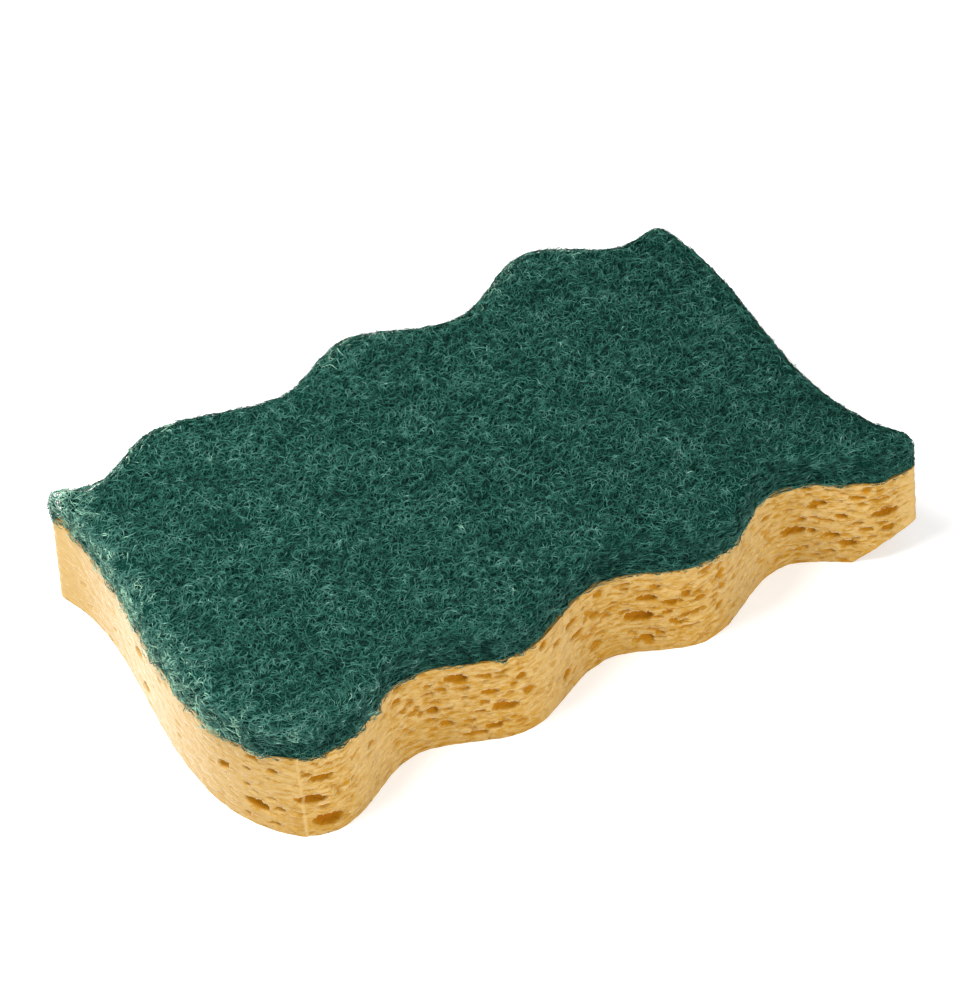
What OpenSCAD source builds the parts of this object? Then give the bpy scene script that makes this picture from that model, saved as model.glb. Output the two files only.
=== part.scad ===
// Cleaning sponge: a cellulose sponge block with a fibre scouring pad bonded on top.
// Millimetres, +Z up. The origin is on the table under the middle of the outline's box,
// +X runs along the length, and the underside of the block rests at z = 0.

/* [Outline] */

// Distance between the middle lines of the two end edges
length = 134.8; // [115:1:165]
// Distance between the wavy front edge and the same edge at the back
width = 82.6; // [70:1:100]
// Distance from one bulge of the wavy edge to the next
wave_pitch = 40; // [36:0.5:42]
// Depth of the wave from valley to bulge
wave_depth = 7.2; // [4:0.2:9]
// Depth of the single slow wave in each end edge
end_depth = 7.4; // [3:0.2:10]
// How far the right end's wave sits in front of the left end's
end_shift = 6.65; // [0:0.05:9]
// Rounding length of the front right ear
near_nose = 3.5; // [2:0.1:5]
// Rounding length of the back right ear
far_nose = 5; // [2:0.2:6]
// Rounding length of the back left ear
left_nose = 5.2; // [2:0.2:6]

/* [Sponge block] */

// Thickness of the cellulose block
sponge_thickness = 18.4; // [12:0.2:30]
// Height of the worn slope under the front right ear, at its tip
worn_rise = 5.8; // [1:0.1:8]
// Length of the worn slope under the front right ear
worn_run = 11.1; // [6:0.1:16]
// Width of the raised seam that the cutting knife's joint leaves on the front left corner
seam_width = 1.4; // [0.8:0.1:2.4]
// Height of that seam above the wall
seam_height = 0.3; // [0.15:0.05:0.5]

/* [Pores] */

// Height of a wall pore as a share of its width
pore_flatness = 0.34; // [0.2:0.02:0.5]
// Depth of a wall pore as a share of its width
pore_depth = 0.34; // [0.2:0.02:0.6]
// Width of the smallest scattered wall pores
pore_min = 1.9; // [1.5:0.1:2.5]
// Width of the largest scattered wall pores
pore_max = 4.6; // [3:0.1:6]
// Number of pores scattered round the walls
wall_pores = 120; // [20:1:150]
// Number of round pores scattered over the underside
base_pores = 56; // [10:1:80]
// Width of the smallest pores of the underside
base_pore_min = 2.6; // [1.5:0.1:3.5]
// Width of the largest pores of the underside
base_pore_max = 6.8; // [4:0.1:9]
// Least distance from a pore of the underside to the ends of the block
base_margin = 8; // [6:0.5:14]
// Diameter of the pore-free spot in the middle of the underside
rest_spot = 16; // [10:1:30]

/* [Scouring pad] */

// Thickness of the scouring pad
pad_thickness = 7.8; // [4:0.2:12]
// Radius of the pad's rounded upper edge
pad_edge = 3.2; // [1:0.1:3.8]
// How far the pad's lower edge is drawn in where it meets the block
pad_tuck = 0.7; // [0.2:0.1:1.5]

/* [Hidden] */

// Turning points of the two wavy edges, from left to right: place in wave pitches from
// the middle valley, and depth in wave depths from the edge's middle line
front_turns = [[-1.52, -0.405], [-1.003, 0.61], [-0.51, -0.41], [0.01, 0.485],
               [0.46, -0.54], [1.01, 0.5], [1.475, -0.965]];
back_turns = [[-1.485, -0.34], [-1.06, 0.56], [-0.47, -0.395], [-0.01, 0.535],
              [0.495, -0.63], [1.035, 0.545], [1.47, -0.915]];
wave_middle = 0.075 * wave_pitch;

// Turning points of an end edge, as places along the width
end_front = -0.251 * width;
end_back = 0.3985 * width;

// How far each ear's corner lies past the outer one of its neighbouring turning points
near_ear = [0.1375 * wave_pitch, 0];
far_ear = [-0.07 * far_nose, 0.35 * far_nose];
left_ear = [-0.2 * left_nose, 1.175 * left_nose];

// Steps of the outline's curves
wave_steps = 8;
end_steps = 14;
corner_steps = 12;
tail_steps = 4;
nose_steps = 5;

// Golden fractions that spread the scattered pores evenly
spread_a = 0.61803;
spread_b = 0.75488;
spread_c = 0.56984;

function fraction(v) = v - floor(v);

// Half a cosine from one turning point to the next, running along the given axis
function swing(a, b, axis, steps) = [
    for (i = [0 : steps - 1])
        let (t = i / steps, ease = (1 - cos(180 * t)) / 2)
        axis == 0 ? [a.x + (b.x - a.x) * t, a.y + (b.y - a.y) * ease]
                  : [a.x + (b.x - a.x) * ease, a.y + (b.y - a.y) * t]
];

// A point of the parabola that leaves turning point a flat and reaches corner c at t = 1
function tail(a, c, axis, t) =
    axis == 0 ? [a.x + (c.x - a.x) * t, a.y + (c.y - a.y) * t * t]
              : [a.x + (c.x - a.x) * t * t, a.y + (c.y - a.y) * t];

function bend(a, c, b, t) = (1 - t) * (1 - t) * a + 2 * t * (1 - t) * c + t * t * b;

// An ear: two parabolas from turning points a and b towards corner c, joined by a round nose
function ear(a, a_axis, c, b, b_axis, nose) =
    let (a_end = max(0, 1 - nose / abs(c[a_axis] - a[a_axis])),
         b_end = max(0, 1 - nose / abs(c[b_axis] - b[b_axis])))
    concat(
        [for (i = [0 : tail_steps - 1]) tail(a, c, a_axis, a_end * i / tail_steps)],
        [for (i = [0 : nose_steps])
            bend(tail(a, c, a_axis, a_end), c, tail(b, c, b_axis, b_end), i / nose_steps)],
        [for (i = [tail_steps - 1 : -1 : 1]) tail(b, c, b_axis, b_end * i / tail_steps)]
    );

// The wavy edge at the front or, with the far side's middle line, at the back
function edge_turns(turns, middle) = [
    for (t = turns) [wave_middle + wave_pitch * t[0], middle + wave_depth * t[1]]
];
front = edge_turns(front_turns, -width / 2);
back = edge_turns(back_turns, width / 2);
last = len(front_turns) - 1;

left_front = [-(length + end_depth) / 2, end_front];
left_back = [-(length - end_depth) / 2, end_back];
right_front = [(length - end_depth) / 2, end_front - end_shift];
right_back = [(length + end_depth) / 2, end_back - end_shift];

near_corner = [max(right_front.x, front[last].x), front[last].y] + near_ear;
far_corner = [max(right_back.x, back[last].x), back[last].y] + far_ear;
left_corner = [min(left_back.x, back[0].x), back[0].y] + left_ear;

// The front left corner is a quarter of an ellipse between its two turning points
round_corner = [
    for (i = [0 : corner_steps - 1])
        let (t = 90 * i / corner_steps)
        [front[0].x + (left_front.x - front[0].x) * cos(t),
         left_front.y + (front[0].y - left_front.y) * sin(t)]
];

// The whole outline, anticlockwise from the front left turning point
raw_outline = concat(
    [for (k = [0 : last - 1]) each swing(front[k], front[k + 1], 0, wave_steps)],
    ear(front[last], 0, near_corner, right_front, 1, near_nose),
    swing(right_front, right_back, 1, end_steps),
    ear(right_back, 1, far_corner, back[last], 0, far_nose),
    [for (k = [last : -1 : 1]) each swing(back[k], back[k - 1], 0, wave_steps)],
    ear(back[0], 0, left_corner, left_back, 1, left_nose),
    swing(left_back, left_front, 1, end_steps),
    round_corner
);

outline_xs = [for (p = raw_outline) p.x];
outline_ys = [for (p = raw_outline) p.y];
outline_middle = [max(outline_xs) + min(outline_xs), max(outline_ys) + min(outline_ys)] / 2;
outline = [for (p = raw_outline) p - outline_middle];
points = len(outline);

function wrap(i) = (i + points) % points;

// Outward direction of the wall at outline point i
function outward(i) =
    let (d = outline[wrap(i + 1)] - outline[wrap(i - 1)])
    [d.y, -d.x] / norm(d);

// The inner rectangle towards which the pad's edge is drawn in
inner = [length / 2 - 2 * wave_depth, width / 2 - 2 * wave_depth];

function clamp(v, limit) = max(-limit, min(limit, v));

// An outline point moved inwards by d
function drawn_in(p, d) =
    let (q = [clamp(p.x, inner.x), clamp(p.y, inner.y)])
    p + (q - p) * d / norm(q - p);

// Large pores that the front and left walls show: place in wave pitches from the middle
// valley, height as a share of the block's, and width and height in widths of the largest
// scattered pore
front_pores = [
    [-1.791, 0.28, 1.17, 0.52], [-1.838, 0.60, 0.61, 0.35], [-1.574, 0.72, 1.07, 0.30],
    [-1.632, 0.47, 1.33, 0.43], [-1.569, 0.17, 1.33, 0.63], [-0.798, 0.84, 0.96, 0.43],
    [-0.767, 0.10, 0.65, 0.20], [-0.672, 0.62, 0.74, 0.28], [-0.613, 0.40, 1.13, 0.37],
    [-0.668, 0.17, 0.74, 0.30], [-0.283, 0.75, 0.65, 0.26], [-0.169, 0.78, 0.87, 0.33],
    [-0.137, 0.58, 0.91, 0.28], [-0.231, 0.24, 0.65, 0.41], [0.177, 0.46, 1.20, 0.54],
    [0.203, 0.17, 0.61, 0.41], [0.212, 0.68, 0.87, 0.33], [0.297, 0.60, 0.65, 0.33],
    [0.382, 0.43, 0.87, 0.20], [0.474, 0.91, 0.87, 0.20], [1.083, 0.43, 1.02, 0.43],
    [1.184, 0.77, 0.74, 0.30], [1.228, 0.36, 0.70, 0.28], [1.281, 0.24, 0.83, 0.35],
    [1.437, 0.60, 1.33, 0.39], [1.449, 0.39, 0.70, 0.37], [1.318, 0.84, 0.74, 0.22],
    [1.328, 0.47, 0.61, 0.22]
];

// The outline index whose point on the front edge lies nearest the given place along X
front_last = last * wave_steps + tail_steps;
function front_index(x) =
    let (gaps = [for (i = [-corner_steps / 2 : front_last]) abs(outline[wrap(i)].x - x)])
    [for (i = [0 : len(gaps) - 1]) if (gaps[i] == min(gaps)) i - corner_steps / 2][0];

seam_index = front_index(-1.66 * wave_pitch + wave_middle);

// An eye-shaped pocket of a wall, w wide and h high, that runs in along -Y from the wall
module pore(w, h) {
    rotate([90, 0, 0])
        linear_extrude(height = 2 * pore_depth * w, center = true)
            polygon([[-w / 2, 0], [-0.22 * w, -0.44 * h], [0.2 * w, -0.5 * h],
                     [w / 2, 0.06 * h], [0.2 * w, 0.46 * h], [-0.24 * w, 0.5 * h]]);
}

// A pore on the wall at outline point i, at height z, with a lean from level
module wall_pore(i, z, w, h, lean) {
    at = outline[wrap(i)];
    out = outward(wrap(i));
    translate([at.x, at.y, z])
        rotate([0, 0, atan2(out.y, out.x) + 90])
            rotate([0, lean, 0])
                pore(w, h);
}

module scattered_wall_pores() {
    for (k = [1 : wall_pores]) {
        i = floor(fraction(k * spread_a) * points);
        z = pore_min + (sponge_thickness - 2 * pore_min) * fraction(k * spread_b);
        w = pore_min + (pore_max - pore_min) * pow(fraction(k * spread_c), 2);
        wall_pore(i, z, w, w * pore_flatness, 20 * fraction(k * 0.29) - 10);
    }
}

// An oval of eight sides, w wide
module base_oval(w) {
    polygon([for (a = [0 : 45 : 315]) [w / 2 * cos(a), 0.38 * w * sin(a)]]);
}

// Pores of the underside step in twice, and none reaches the spot that it rests on
module scattered_base_pores() {
    for (k = [1 : base_pores]) {
        x = (fraction(k * spread_b) - 0.5) * (length - 2 * base_margin);
        y = (fraction(k * spread_c) - 0.5) * (width - 2 * base_margin);
        w = base_pore_min + (base_pore_max - base_pore_min) * pow(fraction(k * spread_a), 2);
        if (norm([x, y]) > rest_spot / 2 + w)
            translate([x, y, 0])
                rotate([0, 0, 360 * fraction(k * 0.37)]) {
                    linear_extrude(height = 0.36 * w, center = true)
                        base_oval(w);
                    linear_extrude(height = 0.9 * w, center = true)
                        base_oval(0.62 * w);
                }
    }
}

// The slope that wear left under the front right ear: steep up to its knee, then flatter
worn_start = max([for (p = outline) (p.x - p.y) / sqrt(2)]) - worn_run;
worn_knee = [0.5 * worn_run, 0.69 * worn_rise];
worn_end = [2 * worn_run, 3 * worn_rise - 2 * worn_knee.y];
module worn_corner() {
    rotate([90, 0, -45])
        translate([worn_start, 0, -width])
            linear_extrude(height = 2 * width)
                polygon([[0, 0], worn_knee, worn_end, [worn_end.x, -worn_rise], [0, -worn_rise]]);
}

module cellulose_sponge() {
    seam_at = outline[wrap(seam_index)] - (seam_width / 2 - seam_height) * outward(wrap(seam_index));
    color("khaki")
        difference() {
            union() {
                linear_extrude(height = sponge_thickness)
                    polygon(outline);
                translate([seam_at.x, seam_at.y, 0])
                    cylinder(h = sponge_thickness, d = seam_width);
            }
            for (p = front_pores)
                wall_pore(front_index(wave_middle + p[0] * wave_pitch), p[1] * sponge_thickness,
                          p[2] * pore_max, p[3] * pore_max, -4);
            scattered_wall_pores();
            scattered_base_pores();
            worn_corner();
        }
}

// Rings of the pad from the bond up: how far each is drawn in, and its height
pad_rings = concat(
    [[pad_tuck, 0], [0, 1.6 * pad_tuck]],
    [for (a = [0 : 30 : 90]) [pad_edge * (1 - cos(a)), pad_thickness - pad_edge * (1 - sin(a))]]
);

// A ring of the outline drawn in by d, at height z
function outline_ring(d, z) = [for (p = outline) let (q = drawn_in(p, d)) [q.x, q.y, z]];

// An oval ring in the middle of a flat face, with a point for each point of the outline
front_middle = last * wave_steps / 2;
function oval_ring(z) = [
    for (i = [0 : points - 1])
        let (a = 360 * (i - front_middle) / points - 90)
        [0.3 * length * cos(a), 0.26 * width * sin(a), z]
];

module scouring_pad() {
    rings = concat(
        [oval_ring(0)],
        [for (r = pad_rings) outline_ring(r[0], r[1])],
        [oval_ring(pad_thickness)]
    );
    color("seagreen")
        translate([0, 0, sponge_thickness])
            polyhedron(
                points = [for (ring = rings) each ring],
                faces = concat(
                    [[for (i = [0 : points - 1]) i]],
                    [for (k = [0 : len(rings) - 2]) for (i = [0 : points - 1])
                        [k * points + i, (k + 1) * points + i,
                         (k + 1) * points + wrap(i + 1), k * points + wrap(i + 1)]],
                    [[for (i = [points - 1 : -1 : 0]) (len(rings) - 1) * points + i]]
                )
            );
}

cellulose_sponge();
scouring_pad();
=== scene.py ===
"""Cleaning sponge: looks of the cellulose block and of the fibre scouring pad on it.

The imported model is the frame. Each CAD node is replaced by finer pieces of the same
form: the block by a mesh with real pores, the pad by a felt core under loose fibres.
The two pieces are worked out in millimetres, and MM turns them into metres where their
meshes are made. The floor and the lamps are in metres.
"""
import logging
import math
from dataclasses import dataclass, field
from enum import Enum

import bpy
import numpy as np
from mathutils import Matrix, Vector, geometry


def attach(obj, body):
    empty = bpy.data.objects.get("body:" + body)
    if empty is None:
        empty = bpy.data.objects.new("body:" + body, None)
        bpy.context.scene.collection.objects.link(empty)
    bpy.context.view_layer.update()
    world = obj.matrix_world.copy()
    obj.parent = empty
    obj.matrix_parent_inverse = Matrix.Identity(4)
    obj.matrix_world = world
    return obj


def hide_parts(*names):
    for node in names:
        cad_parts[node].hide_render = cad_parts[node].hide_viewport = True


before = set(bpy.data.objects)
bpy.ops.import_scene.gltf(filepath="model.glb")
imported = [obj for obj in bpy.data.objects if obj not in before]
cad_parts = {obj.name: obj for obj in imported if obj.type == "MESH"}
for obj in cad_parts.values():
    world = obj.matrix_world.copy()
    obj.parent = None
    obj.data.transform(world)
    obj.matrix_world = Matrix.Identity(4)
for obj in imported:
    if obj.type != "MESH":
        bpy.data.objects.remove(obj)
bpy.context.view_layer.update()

LOG = logging.getLogger("cleaning_sponge")
MM = 0.001
RGB = tuple[float, float, float]
Value = bpy.types.NodeSocket | float
Colour = bpy.types.NodeSocket | RGB
WHITE = (1.0, 1.0, 1.0, 1.0)
EAR_STEPS = 16
NOSE_STEPS = 24


class Slot(Enum):
    """Material slots of the record."""

    CELLULOSE = "cellulose"
    WEB = "scouring_web"


class Layer(Enum):
    """Names of the mesh data that the finishes read."""

    WALL_MAP = "wall"
    OPEN = "open_cells"
    DEPTH = "pore_depth"
    SHADE = "fibre_shade"


# The outline


def swing(a: np.ndarray, b: np.ndarray, axis: int, steps: int) -> np.ndarray:
    """Half a cosine from one turning point of the outline to the next.

    Args:
        a: First turning point, in millimetres.
        b: Next turning point.
        axis: The axis along which the edge runs, 0 or 1.
        steps: Number of points, the last turning point left out.

    Returns:
        The points, one row each.
    """
    t = np.arange(steps) / steps
    ease = (1 - np.cos(np.pi * t)) / 2
    out = np.empty((steps, 2))
    out[:, axis] = a[axis] + (b[axis] - a[axis]) * t
    out[:, 1 - axis] = a[1 - axis] + (b[1 - axis] - a[1 - axis]) * ease
    return out


def tail(a: np.ndarray, c: np.ndarray, axis: int, t: np.ndarray) -> np.ndarray:
    """Points of the parabola that leaves turning point a flat and reaches corner c.

    Args:
        a: Turning point.
        c: Corner of the ear.
        axis: The axis along which the edge runs at a.
        t: Shares of the way to c.

    Returns:
        The points, one row each.
    """
    out = np.empty((len(t), 2))
    out[:, axis] = a[axis] + (c[axis] - a[axis]) * t
    out[:, 1 - axis] = a[1 - axis] + (c[1 - axis] - a[1 - axis]) * t * t
    return out


def ear(a: np.ndarray, a_axis: int, c: np.ndarray, b: np.ndarray, b_axis: int,
        nose: float) -> np.ndarray:
    """An ear of the outline: two parabolas towards a corner, joined by a round nose.

    Args:
        a: Turning point before the ear.
        a_axis: The axis of the edge at a.
        c: Corner of the ear.
        b: Turning point after the ear.
        b_axis: The axis of the edge at b.
        nose: Rounding length of the nose, in millimetres.

    Returns:
        The points, one row each.
    """
    a_end = 1 - nose / abs(c[a_axis] - a[a_axis])
    b_end = 1 - nose / abs(c[b_axis] - b[b_axis])
    start = tail(a, c, a_axis, np.array([a_end]))
    stop = tail(b, c, b_axis, np.array([b_end]))
    t = np.linspace(0, 1, NOSE_STEPS)[:, None]
    bend = (1 - t) ** 2 * start + 2 * t * (1 - t) * c + t * t * stop
    return np.concatenate([
        tail(a, c, a_axis, a_end * np.arange(EAR_STEPS) / EAR_STEPS),
        bend,
        tail(b, c, b_axis, b_end * np.arange(EAR_STEPS - 1, 0, -1) / EAR_STEPS),
    ])


@dataclass
class Outline:
    """The die-cut outline, with the sizes of the part's source, in millimetres.

    A turning point of a wavy edge is a place in wave pitches and a height in wave depths.
    Running lengths along the outline start at the front left turning point and grow towards
    the right, so those of the left wall are below 0.
    """

    length: float = 134.8
    width: float = 82.6
    wave_pitch: float = 40.0
    wave_depth: float = 7.2
    end_depth: float = 7.4
    end_shift: float = 6.65
    noses: tuple[float, float, float] = (3.5, 5.0, 5.2)
    front_turns: tuple[tuple[float, float], ...] = (
        (-1.52, -0.405), (-1.003, 0.61), (-0.51, -0.41), (0.01, 0.485),
        (0.46, -0.54), (1.01, 0.5), (1.475, -0.965),
    )
    back_turns: tuple[tuple[float, float], ...] = (
        (-1.485, -0.34), (-1.06, 0.56), (-0.47, -0.395), (-0.01, 0.535),
        (0.495, -0.63), (1.035, 0.545), (1.47, -0.915),
    )
    near_ear: tuple[float, float] = (5.5, 0.0)
    far_ear: tuple[float, float] = (-0.35, 1.75)
    left_ear: tuple[float, float] = (-1.04, 6.11)
    wave_middle: float = 0.075
    end_front: float = -0.251
    end_back: float = 0.3985
    wave_steps: int = 48
    end_steps: int = 90
    corner_steps: int = 60
    front_span: tuple[float, float] = (-26.0, 136.0)
    front_samples: int = 3241
    xy: np.ndarray = field(init=False, repr=False)
    run: np.ndarray = field(init=False, repr=False)

    def __post_init__(self) -> None:
        """Computes the dense outline and its running length."""
        raw = self._raw()
        raw = raw - (raw.max(axis=0) + raw.min(axis=0)) / 2
        keep = np.r_[True, np.linalg.norm(np.diff(raw, axis=0), axis=1) > 1e-7]
        self.xy = raw[keep]
        closed = np.r_[self.xy, self.xy[:1]]
        self.run = np.r_[0, np.cumsum(np.linalg.norm(np.diff(closed, axis=0), axis=1))]

    def _turning_points(self, turns: tuple[tuple[float, float], ...], middle: float) -> list[np.ndarray]:
        """Places the turning points of a wavy edge.

        Args:
            turns: The points in wave pitches and wave depths.
            middle: Place of the edge's middle line along Y.

        Returns:
            The points in millimetres.
        """
        return [np.array([self.wave_pitch * (self.wave_middle + u), middle + self.wave_depth * v])
                for u, v in turns]

    def _raw(self) -> np.ndarray:
        """The outline before it is centred.

        Returns:
            The points, anticlockwise from the front left turning point.
        """
        front = self._turning_points(self.front_turns, -self.width / 2)
        back = self._turning_points(self.back_turns, self.width / 2)
        low, high = self.end_front * self.width, self.end_back * self.width
        left_front = np.array([-(self.length + self.end_depth) / 2, low])
        left_back = np.array([-(self.length - self.end_depth) / 2, high])
        right_front = np.array([(self.length - self.end_depth) / 2, low - self.end_shift])
        right_back = np.array([(self.length + self.end_depth) / 2, high - self.end_shift])
        near = np.array([right_front[0], front[-1][1]]) + self.near_ear
        far = np.array([right_back[0], back[-1][1]]) + self.far_ear
        left = np.array([left_back[0], back[0][1]]) + self.left_ear
        angle = np.pi / 2 * np.arange(self.corner_steps) / self.corner_steps
        corner = np.stack([
            front[0][0] + (left_front[0] - front[0][0]) * np.cos(angle),
            left_front[1] + (front[0][1] - left_front[1]) * np.sin(angle),
        ], axis=1)
        reverse = back[::-1]
        return np.concatenate(
            [swing(a, b, 0, self.wave_steps) for a, b in zip(front[:-1], front[1:])]
            + [ear(front[-1], 0, near, right_front, 1, self.noses[0])]
            + [swing(right_front, right_back, 1, self.end_steps)]
            + [ear(right_back, 1, far, back[-1], 0, self.noses[1])]
            + [swing(a, b, 0, self.wave_steps) for a, b in zip(reverse[:-1], reverse[1:])]
            + [ear(back[0], 0, left, left_back, 1, self.noses[2])]
            + [swing(left_back, left_front, 1, self.end_steps)]
            + [corner]
        )

    @property
    def total(self) -> float:
        """The outline's whole length, in millimetres."""
        return float(self.run[-1])

    @property
    def left_tip(self) -> int:
        """Number of the outline point at the tip of the far left ear."""
        return int((self.xy @ np.array([-1.0, 1.0])).argmax())

    def at(self, s: np.ndarray) -> np.ndarray:
        """Points of the outline at running lengths.

        Args:
            s: Running lengths in millimetres, which may pass the end.

        Returns:
            The points, one row each.
        """
        closed = np.r_[self.xy, self.xy[:1]]
        s = np.mod(s, self.total)
        return np.stack([np.interp(s, self.run, closed[:, k]) for k in (0, 1)], axis=-1)

    def outward(self, s: np.ndarray, reach: float = 0.5) -> np.ndarray:
        """Outward unit directions at running lengths.

        Args:
            s: Running lengths in millimetres.
            reach: Half the length over which the direction is taken.

        Returns:
            The directions, one row each.
        """
        d = self.at(s + reach) - self.at(s - reach)
        n = np.stack([d[..., 1], -d[..., 0]], axis=-1)
        return n / np.linalg.norm(n, axis=-1, keepdims=True)

    def place_on_front(self, x: float) -> float:
        """The running length of the front wall's point, or the front left corner's, at a place along X.

        Args:
            x: Place along X in millimetres.

        Returns:
            The running length.
        """
        s = np.linspace(*self.front_span, self.front_samples)
        return float(s[np.abs(self.at(s)[:, 0] - x).argmin()])


@dataclass
class EdgeField:
    outline: Outline
    step: float = 0.4
    margin: float = 12.0
    chunk: int = 4000
    half: tuple[float, float] = (70.0, 46.0)
    jitter: float = 0.25
    seed: int = 5
    low: np.ndarray = field(init=False, repr=False)
    inside: np.ndarray = field(init=False, repr=False)
    foot: np.ndarray = field(init=False, repr=False)

    def __post_init__(self) -> None:
        """Fills the grid: signed distance, positive inside, and the nearest edge point's length."""
        s = np.arange(0, self.outline.total, self.step)
        edge = self.outline.at(s)
        normal = self.outline.outward(s)
        self.low = edge.min(axis=0) - self.margin
        high = edge.max(axis=0) + self.margin
        xs = np.arange(self.low[0], high[0], self.step)
        ys = np.arange(self.low[1], high[1], self.step)
        gx, gy = np.meshgrid(xs, ys, indexing="ij")
        grid = np.stack([gx.ravel(), gy.ravel()], axis=1)
        best = np.empty(len(grid))
        which = np.empty(len(grid), dtype=int)
        for k in range(0, len(grid), self.chunk):
            part = grid[k:k + self.chunk]
            d2 = ((part[:, None, :] - edge[None, :, :]) ** 2).sum(axis=2)
            which[k:k + self.chunk] = d2.argmin(axis=1)
            best[k:k + self.chunk] = np.sqrt(d2.min(axis=1))
        side = ((grid - edge[which]) * normal[which]).sum(axis=1)
        self.inside = np.where(side < 0, best, -best).reshape(gx.shape)
        self.foot = s[which].reshape(gx.shape)

    def look_up(self, xy: np.ndarray) -> np.ndarray:
        """Signed distance to the edge, positive inside.

        Args:
            xy: Points in millimetres, one row each.

        Returns:
            The distances.
        """
        u = (xy - self.low) / self.step
        i = np.clip(np.floor(u).astype(int), 0, np.array(self.inside.shape) - 2)
        f = np.clip(u - i, 0, 1)
        a = self.inside
        return ((a[i[:, 0], i[:, 1]] * (1 - f[:, 0]) + a[i[:, 0] + 1, i[:, 1]] * f[:, 0]) * (1 - f[:, 1])
                + (a[i[:, 0], i[:, 1] + 1] * (1 - f[:, 0]) + a[i[:, 0] + 1, i[:, 1] + 1] * f[:, 0]) * f[:, 1])

    def nearest(self, xy: np.ndarray) -> np.ndarray:
        """Running length of the edge point nearest to each point.

        Args:
            xy: Points in millimetres, one row each.

        Returns:
            The running lengths.
        """
        i = np.clip(np.rint((xy - self.low) / self.step).astype(int), 0, np.array(self.foot.shape) - 1)
        return self.foot[i[:, 0], i[:, 1]]

    def inner_points(self, step: float) -> np.ndarray:
        """Loose points inside the outline, on a jittered grid.

        Args:
            step: Distance between them in millimetres.

        Returns:
            The points, one row each.
        """
        rng = np.random.default_rng(self.seed)
        xs, ys = (np.arange(-half, half, step) for half in self.half)
        grid = np.stack(np.meshgrid(xs, ys), axis=-1).reshape(-1, 2)
        grid = grid + rng.uniform(-self.jitter, self.jitter, grid.shape) * step
        return grid[self.look_up(grid) > max(1.0, 0.6 * step)]


# Noise and meshes


def wave_noise(points: np.ndarray, scale: float, seed: int, waves: int = 10) -> np.ndarray:
    """Smooth noise made of a few random waves.

    Args:
        points: Points, one row each.
        scale: Typical size of a swell, in the points' unit.
        seed: Seed of the random draws.
        waves: Number of waves added up.

    Returns:
        Values of about -1 to 1.
    """
    rng = np.random.default_rng(seed)
    direction = rng.normal(size=(waves, points.shape[1]))
    direction /= np.linalg.norm(direction, axis=1, keepdims=True)
    pitch = scale * rng.uniform(0.7, 1.5, waves)
    phase = rng.uniform(0, 2 * np.pi, waves)
    out = np.zeros(len(points))
    for d, p, a in zip(direction, pitch, phase):
        out += np.sin(points @ d * (2 * np.pi / p) + a)
    return out / math.sqrt(waves)


def new_mesh(name: str, vertices: np.ndarray, faces: np.ndarray, smooth: bool = True) -> bpy.types.Object:
    """Makes an object from arrays.

    Args:
        name: Name of the piece.
        vertices: Points in metres, one row each.
        faces: Vertex numbers, one row of 3 or 4 for each face.
        smooth: Whether the faces are shaded smooth.

    Returns:
        The new object, linked to the scene.
    """
    mesh = bpy.data.meshes.new(name)
    corners = faces.shape[1]
    mesh.vertices.add(len(vertices))
    mesh.vertices.foreach_set("co", vertices.astype(np.float32).ravel())
    mesh.loops.add(faces.size)
    mesh.loops.foreach_set("vertex_index", faces.astype(np.int32).ravel())
    mesh.polygons.add(len(faces))
    mesh.polygons.foreach_set("loop_start", np.arange(0, faces.size, corners, dtype=np.int32))
    mesh.update(calc_edges=True)
    mesh.polygons.foreach_set("use_smooth", np.full(len(faces), smooth))
    mesh.validate()
    obj = bpy.data.objects.new(name, mesh)
    bpy.context.scene.collection.objects.link(obj)
    return obj


def point_values(obj: bpy.types.Object, layer: Layer, values: np.ndarray) -> None:
    """Keeps one number for each vertex.

    Args:
        obj: The mesh object.
        layer: Name under which a finish reads the numbers.
        values: One number for each vertex.
    """
    data = obj.data.attributes.new(layer.value, "FLOAT", "POINT")
    data.data.foreach_set("value", values.astype(np.float32))


def wall_map(obj: bpy.types.Object, uv: np.ndarray) -> None:
    """Keeps a flat place for each vertex, as a UV map in millimetres.

    Args:
        obj: The mesh object.
        uv: Two numbers for each vertex.
    """
    index = np.empty(len(obj.data.loops), dtype=np.int32)
    obj.data.loops.foreach_get("vertex_index", index)
    layer = obj.data.uv_layers.new(name=Layer.WALL_MAP.value)
    layer.data.foreach_set("uv", uv[index].astype(np.float32).ravel())


def filled(name: str, outline: np.ndarray, inner: np.ndarray) -> tuple[np.ndarray, np.ndarray]:
    """Triangles over a flat outline with loose points inside it.

    Args:
        name: What is filled, for the log.
        outline: Points of the closed outline.
        inner: Loose points inside the outline.

    Returns:
        The points and the triangles.
    """
    points = [Vector(p) for p in np.concatenate([outline, inner])]
    n = len(outline)
    edges = [(i, (i + 1) % n) for i in range(n)]
    made = geometry.delaunay_2d_cdt(points, edges, [], 1, 1e-7)
    flat = np.array([tuple(v) for v in made[0]])
    faces = np.array([f for f in made[2] if len(f) == 3])
    LOG.info("%s: %d points filled", name, len(flat))
    return flat, faces


# Finishes


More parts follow.
